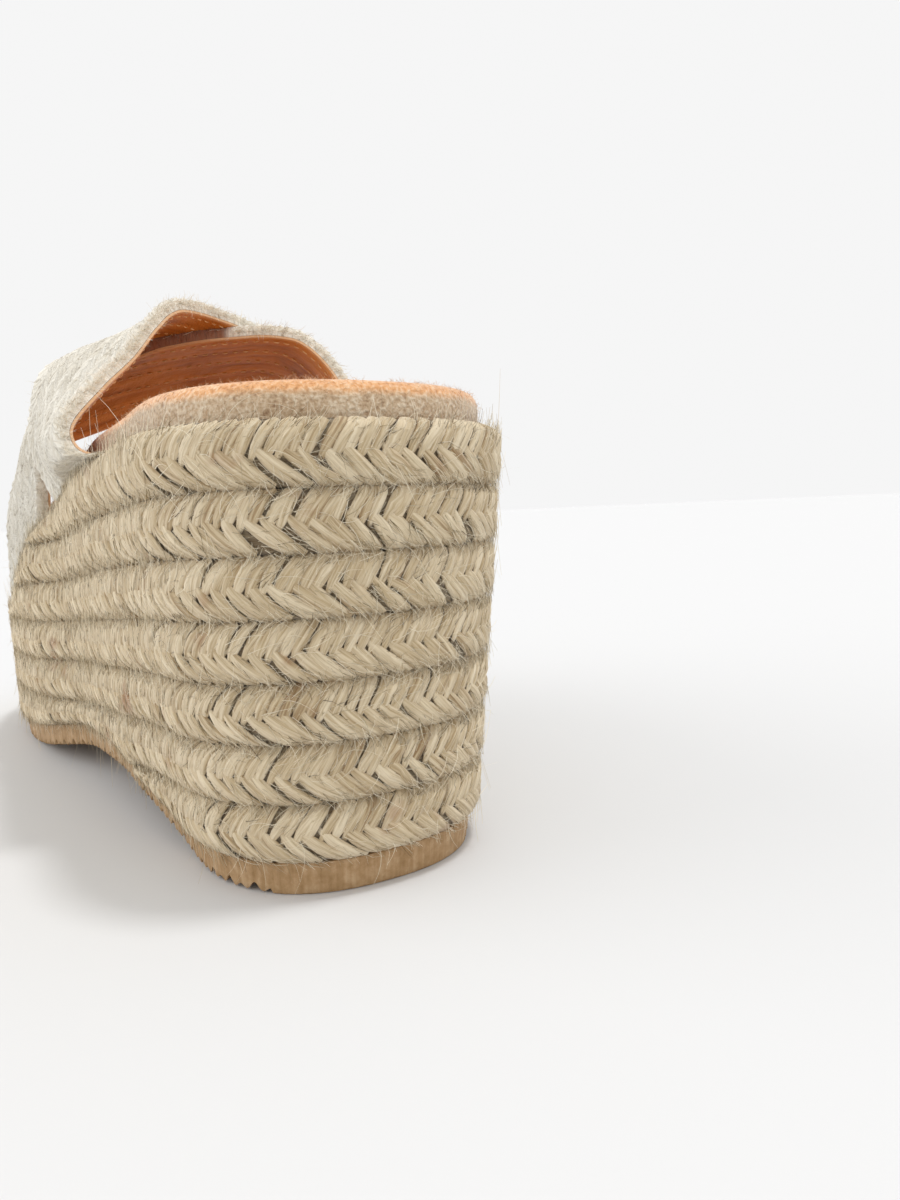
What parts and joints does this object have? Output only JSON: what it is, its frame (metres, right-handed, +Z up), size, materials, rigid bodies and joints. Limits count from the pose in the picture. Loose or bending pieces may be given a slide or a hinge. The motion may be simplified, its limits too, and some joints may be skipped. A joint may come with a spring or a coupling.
{
  "type": "wedge sandal",
  "caption": "Left wedge mule with a braided jute platform, a padded suede footbed and two wide crossed straps that the foot slides under.",
  "frame": {"origin": "on the floor, under the middle of the sandal's box", "axes": "+Y from heel to toe, +X towards the inner (big toe) side of a left foot, +Z up"},
  "size_m": [0.0942, 0.2436, 0.1182],
  "materials": {
    "outsole_rubber": "matte gum rubber with fine ribs on the heel wall",
    "core_foam": "moulded EVA foam, matte",
    "jute_braid": "plaited natural jute, hairy and matte",
    "shank_steel": "rolled spring steel",
    "cork_filler": "ground cork sheet, matte",
    "insole_fibreboard": "pressed cellulose board, matte",
    "rivet_steel": "plain zinc-plated",
    "footbed_foam": "open-cell foam",
    "suede_cover": "napped suede, soft and matte",
    "leather_lining": "smooth tan leather, low sheen",
    "strap_tape": "woven cotton tape",
    "woven_jute": "woven bleached jute, hairy and matte",
    "stitching_thread": "waxed polyester thread"
  },
  "bodies": {
    "root": {"outsole": "outsole_rubber", "wedge_core": "core_foam", "jute_braid_1": "jute_braid", "jute_braid_2": "jute_braid", "jute_braid_3": "jute_braid", "jute_braid_4": "jute_braid", "jute_braid_5": "jute_braid", "jute_braid_6": "jute_braid", "jute_braid_7": "jute_braid", "shank": "shank_steel", "bottom_filler": "cork_filler", "insole_board": "insole_fibreboard", "shank_rivets": "rivet_steel", "footbed_foam": "footbed_foam", "footbed_cover": "suede_cover", "under_strap_lining": "leather_lining", "under_strap_tape": "strap_tape", "under_strap_jute": "woven_jute", "under_strap_stitching": "stitching_thread", "top_strap_lining": "leather_lining", "top_strap_tape": "strap_tape", "top_strap_jute": "woven_jute", "top_strap_stitching": "stitching_thread"}
  },
  "joints": []
}
